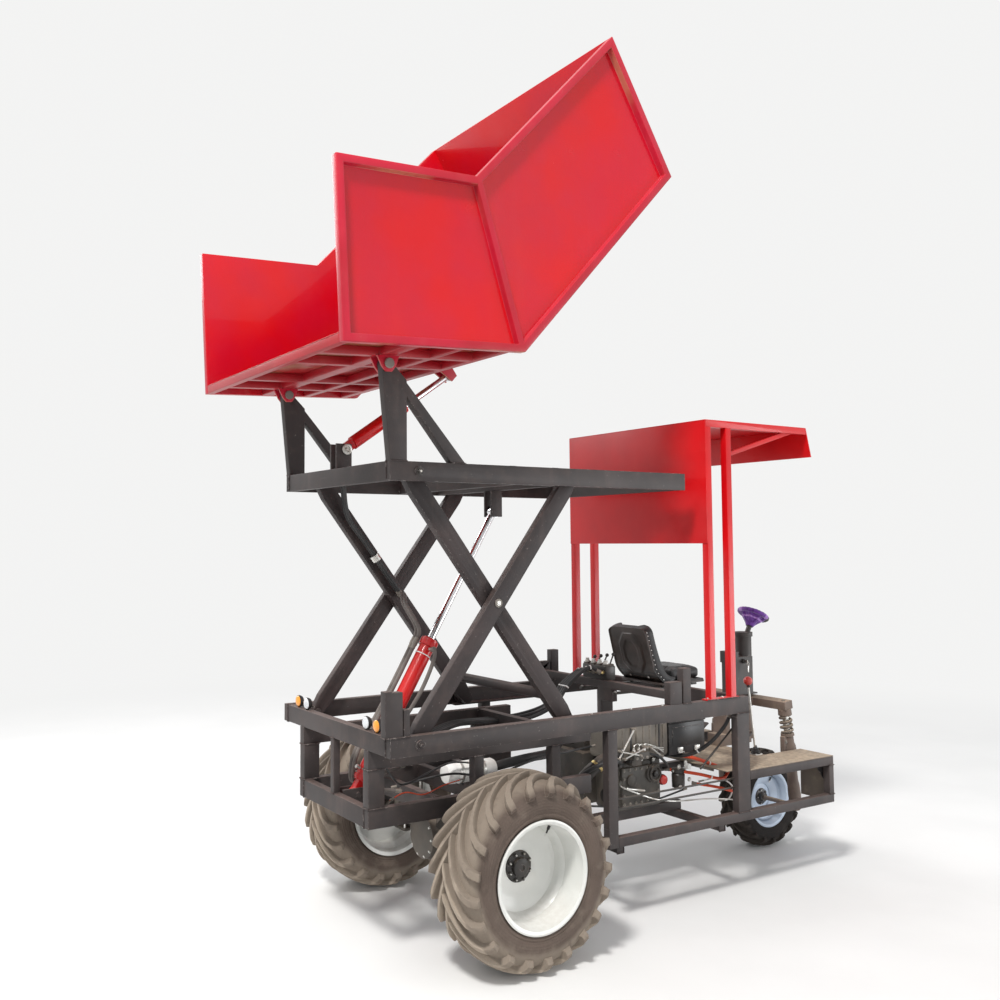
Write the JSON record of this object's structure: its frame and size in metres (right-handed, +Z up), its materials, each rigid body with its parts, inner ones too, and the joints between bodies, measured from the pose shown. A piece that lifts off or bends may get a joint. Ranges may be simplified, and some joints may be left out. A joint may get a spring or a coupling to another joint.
{
  "type": "three-wheeled site dumper with scissor-lift skip",
  "caption": "Three-wheeled site dumper: a scissor lift raises a rear-tipping skip behind a driver seat under a flat canopy, with a steered front wheel.",
  "frame": {"origin": "on the ground, midway between the rearmost and foremost points and between the sides", "axes": "+X forward, +Y to the driver's left, +Z up"},
  "size_m": [4.249, 1.9, 4.9988],
  "materials": {
    "frame_paint": "satin charcoal paint, dusty",
    "red_paint": "gloss red paint",
    "red_sheet": "gloss red paint, dusty outside",
    "tyre": "dusty rubber",
    "rim_paint": "white paint",
    "chrome_rod": "polished",
    "bright_pin": "bright steel",
    "cast_metal": "oily cast iron",
    "dusty_steel": "worn, dusty steel",
    "tank_paint": "satin black paint",
    "white_plastic": "matte",
    "seat_plastic": "embossed black plastic",
    "seat_cover": "black cover",
    "lamp_lens": "gloss amber",
    "wheel_cover": "stretch cover"
  },
  "bodies": {
    "chassis": {"chassis_side_beams": "frame_paint", "chassis_cross_beams": "frame_paint", "chassis_posts": "frame_paint", "lower_rails": "frame_paint", "nose_plates": "dusty_steel", "cab_floor": "dusty_steel", "rear_axle": "cast_metal", "steering_head": "dusty_steel", "steering_column": "dusty_steel", "engine_block": "cast_metal", "gearbox": "cast_metal", "fuel_tank": "tank_paint", "battery_box": "white_plastic", "air_cleaner": "white_plastic", "valve_block": "cast_metal", "seat_beam": "frame_paint", "seat_shell": "seat_plastic", "seat_cushion": "seat_cover", "canopy_posts": "red_paint", "canopy_roof": "red_paint", "canopy_back_panel": "red_paint", "canopy_visor": "red_paint", "rear_lamps": "lamp_lens", "lift_base_bracket": "frame_paint", "control_rods": "bright_pin", "gear_lever": "bright_pin"},
    "rear_wheel_right": {"rear_tyre_right": "tyre", "rear_rim_right": "rim_paint"},
    "rear_wheel_left": {"rear_tyre_left": "tyre", "rear_rim_left": "rim_paint"},
    "fork": {"fork_crown": "dusty_steel", "fork_legs": "frame_paint"},
    "front_wheel": {"front_tyre": "tyre", "front_rim": "rim_paint"},
    "steering_wheel": {"steering_wheel": "wheel_cover"},
    "outer_arms": {"outer_arms": "frame_paint", "outer_arm_shafts": "bright_pin"},
    "inner_arms": {"inner_arms": "frame_paint", "inner_arm_shafts": "bright_pin"},
    "platform": {"platform_side_beams": "frame_paint", "platform_cross_beams": "frame_paint", "hinge_brackets": "frame_paint", "platform_cylinder_brackets": "frame_paint"},
    "skip": {"skip_side_right": "red_sheet", "skip_side_left": "red_sheet", "skip_floor": "red_sheet", "skip_ramp": "red_sheet", "skip_front_wall": "red_sheet", "skip_ramp_frame": "red_sheet", "skip_floor_frame": "red_sheet", "skip_lugs": "red_sheet"},
    "lift_barrel": {"lift_cylinder_barrel": "red_paint"},
    "lift_rod": {"lift_cylinder_rod": "chrome_rod"},
    "tip_barrel": {"tip_cylinder_barrel": "red_paint"},
    "tip_rod": {"tip_cylinder_rod": "chrome_rod"}
  },
  "joints": [
    {"name": "lift", "type": "hinge", "parent": "chassis", "child": "outer_arms", "pos_m": [-1.49431, 0, 1.16], "axis": [0, -1, 0], "range_deg": [-41.7, 0]},
    {"name": "scissor_cross", "type": "hinge", "parent": "outer_arms", "child": "inner_arms", "pos_m": [-0.96407, 0, 1.85352], "axis": [0, -1, 0], "range_deg": [0, 83.51]},
    {"name": "platform_level", "type": "hinge", "parent": "inner_arms", "child": "platform", "pos_m": [-1.49431, 0, 2.54705], "axis": [0, -1, 0], "range_deg": [-41.8, 0]},
    {"name": "lift_barrel_swing", "type": "hinge", "parent": "chassis", "child": "lift_barrel", "pos_m": [-1.52631, 0, 0.792], "axis": [0, -1, 0], "range_deg": [-30.33, 0]},
    {"name": "lift_rod_slide", "type": "slide", "parent": "lift_barrel", "child": "lift_rod", "axis": [0.5188, 0, 0.8549], "range_m": [-0.75656, 0]},
    {"name": "tip", "type": "hinge", "parent": "platform", "child": "skip", "pos_m": [-1.68031, 0, 3.08705], "axis": [0, -1, 0], "range_deg": [-46.5, 0]},
    {"name": "tip_barrel_swing", "type": "hinge", "parent": "platform", "child": "tip_barrel", "pos_m": [-1.60331, 0, 2.70505], "axis": [0, -1, 0], "range_deg": [-46.83, 0]},
    {"name": "tip_rod_slide", "type": "slide", "parent": "tip_barrel", "child": "tip_rod", "axis": [0.8267, 0, 0.5626], "range_m": [-0.30864, 0]},
    {"name": "steer", "type": "hinge", "parent": "chassis", "child": "fork", "pos_m": [1.64069, 0, 1.04], "axis": [-0.1392, 0, 0.9903], "range_deg": [-35, 35]},
    {"name": "steering_wheel_turn", "type": "hinge", "parent": "chassis", "child": "steering_wheel", "pos_m": [1.75369, 0, 1.64], "axis": [0.4695, 0, 0.8829], "range_deg": [-141, 141]},
    {"name": "front_wheel_roll", "type": "hinge", "parent": "fork", "child": "front_wheel", "pos_m": [1.78451, 0, 0.34], "axis": [0, 1, 0], "continuous": true},
    {"name": "rear_wheel_right_roll", "type": "hinge", "parent": "chassis", "child": "rear_wheel_right", "pos_m": [-0.94431, -0.755, 0.493], "axis": [0, 1, 0], "continuous": true},
    {"name": "rear_wheel_left_roll", "type": "hinge", "parent": "chassis", "child": "rear_wheel_left", "pos_m": [-0.94431, 0.755, 0.493], "axis": [0, 1, 0], "continuous": true}
  ],
  "couplings": [
    {"joint": "scissor_cross", "follows": "lift", "ratio": -2},
    {"joint": "platform_level", "follows": "lift", "ratio": 1},
    {"joint": "lift_barrel_swing", "follows": "lift", "ratio": 0.72488},
    {"joint": "lift_rod_slide", "follows": "lift", "m_per_rad": 1.038},
    {"joint": "tip_barrel_swing", "follows": "tip", "ratio": 1.0049},
    {"joint": "tip_rod_slide", "follows": "tip", "m_per_rad": 0.37906},
    {"joint": "steering_wheel_turn", "follows": "steer", "ratio": 4}
  ]
}
